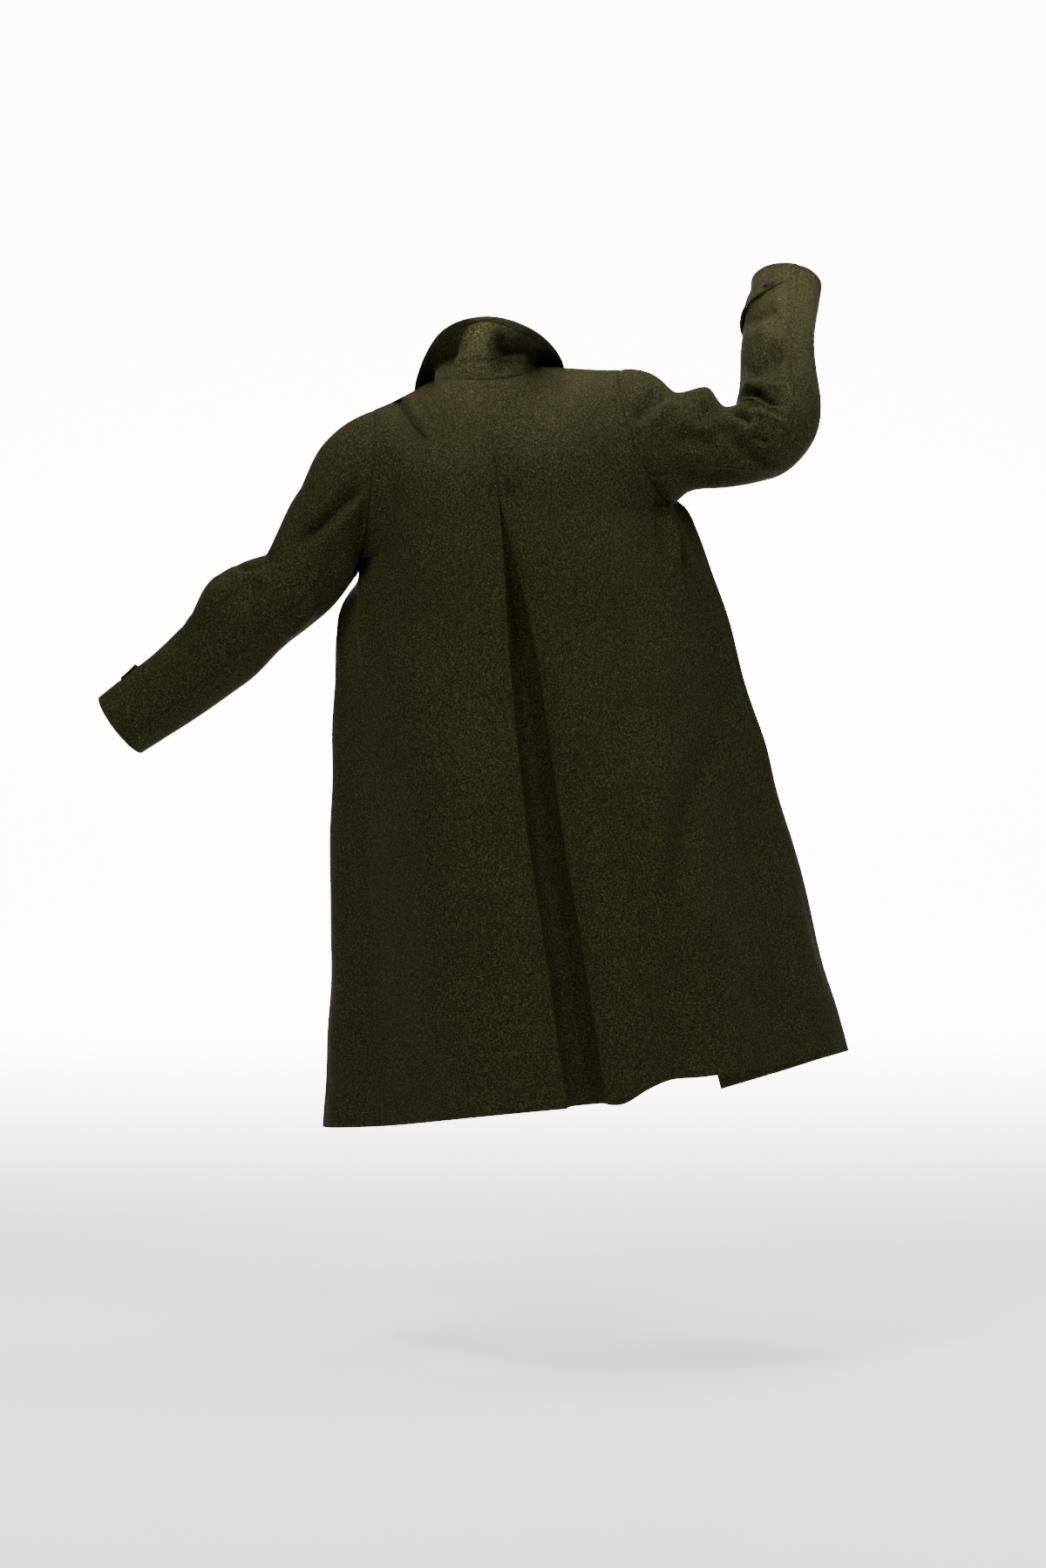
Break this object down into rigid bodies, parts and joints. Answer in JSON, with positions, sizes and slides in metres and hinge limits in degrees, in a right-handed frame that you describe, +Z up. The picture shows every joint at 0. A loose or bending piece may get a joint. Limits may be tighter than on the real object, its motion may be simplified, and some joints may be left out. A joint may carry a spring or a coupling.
{
  "type": "long coat, worn open",
  "caption": "Long A-line wool coat worn open, collar turned up, one arm stretched down and the other raised, with an inverted back pleat and buttoned cuff tabs.",
  "frame": {"origin": "middle of the neck base, level with the shoulder seams, where the wearer's shoulders carry the coat", "axes": "+X to the wearer's right, +Y the way the wearer faces, +Z up"},
  "size_m": [1.1576, 0.4811, 1.3403],
  "materials": {
    "wool": "felted olive-green melange wool with a short nap",
    "button": "dark brown, glossy, horn-like"
  },
  "bodies": {
    "root": {"back_left": "wool", "back_right": "wool", "pleat_underlay": "wool", "front_left": "wool", "front_right": "wool", "collar_stand": "wool", "collar_fall": "wool", "sleeve_left_top": "wool", "sleeve_left_under": "wool", "sleeve_right_top": "wool", "sleeve_right_under": "wool", "cuff_tab_left": "wool", "cuff_tab_right": "wool", "cuff_button_left": "button", "cuff_button_right": "button", "front_button_1": "button", "front_button_2": "button", "front_button_3": "button", "front_button_4": "button"}
  },
  "joints": []
}
